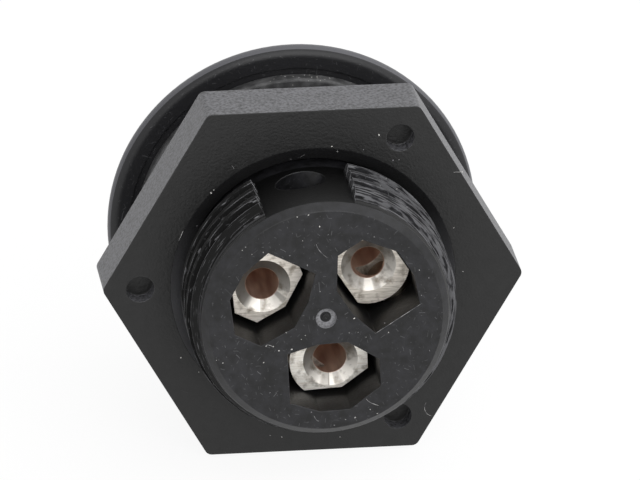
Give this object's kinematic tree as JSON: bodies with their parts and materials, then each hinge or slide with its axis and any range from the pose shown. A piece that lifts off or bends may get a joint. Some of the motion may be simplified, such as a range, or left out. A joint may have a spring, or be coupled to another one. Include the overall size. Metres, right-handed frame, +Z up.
{
  "type": "panel-mount circular power connector",
  "caption": "Round panel connector with flange, gasket, threaded barrel, hex lock nut and screw-terminal contacts in keyed pockets; carries power through a panel.",
  "frame": {"origin": "on the connector's axis in the front face of the flange, where the coupling collar starts", "axes": "+Y along the axis towards the mating face, -Y towards the wiring face, +Z up, +X to the right seen from the wiring side"},
  "size_m": [0.0528, 0.0484, 0.0472],
  "materials": {
    "black_nylon": "matte moulded",
    "nut_nylon": "matte moulded",
    "gasket_rubber": "matte",
    "contact_nickel": "nickel plated, turned and milled",
    "screw_steel": "zinc plated"
  },
  "bodies": {
    "connector": {"housing": "black_nylon", "panel_gasket": "gasket_rubber", "contact_1": "contact_nickel", "contact_2": "contact_nickel", "contact_3": "contact_nickel"},
    "nut": {"lock_nut": "nut_nylon"},
    "screw_1": {"terminal_screw_1": "screw_steel"},
    "screw_2": {"terminal_screw_2": "screw_steel"},
    "screw_3": {"terminal_screw_3": "screw_steel"}
  },
  "joints": [
    {"name": "lock_nut_turn", "type": "hinge", "parent": "connector", "child": "nut", "pos_m": [0, -0.01865, 0], "axis": [0, 1, 0], "continuous": true},
    {"name": "terminal_screw_1_turn", "type": "hinge", "parent": "connector", "child": "screw_1", "pos_m": [0.00902, -0.0266, 0.00096], "axis": [-0.6088, 0, 0.7934], "continuous": true},
    {"name": "terminal_screw_2_turn", "type": "hinge", "parent": "connector", "child": "screw_2", "pos_m": [-0.00535, -0.0266, 0.00733], "axis": [-0.3827, 0, -0.9239], "continuous": true},
    {"name": "terminal_screw_3_turn", "type": "hinge", "parent": "connector", "child": "screw_3", "pos_m": [-0.00368, -0.0266, -0.0083], "axis": [0.9914, 0, 0.1305], "continuous": true}
  ]
}
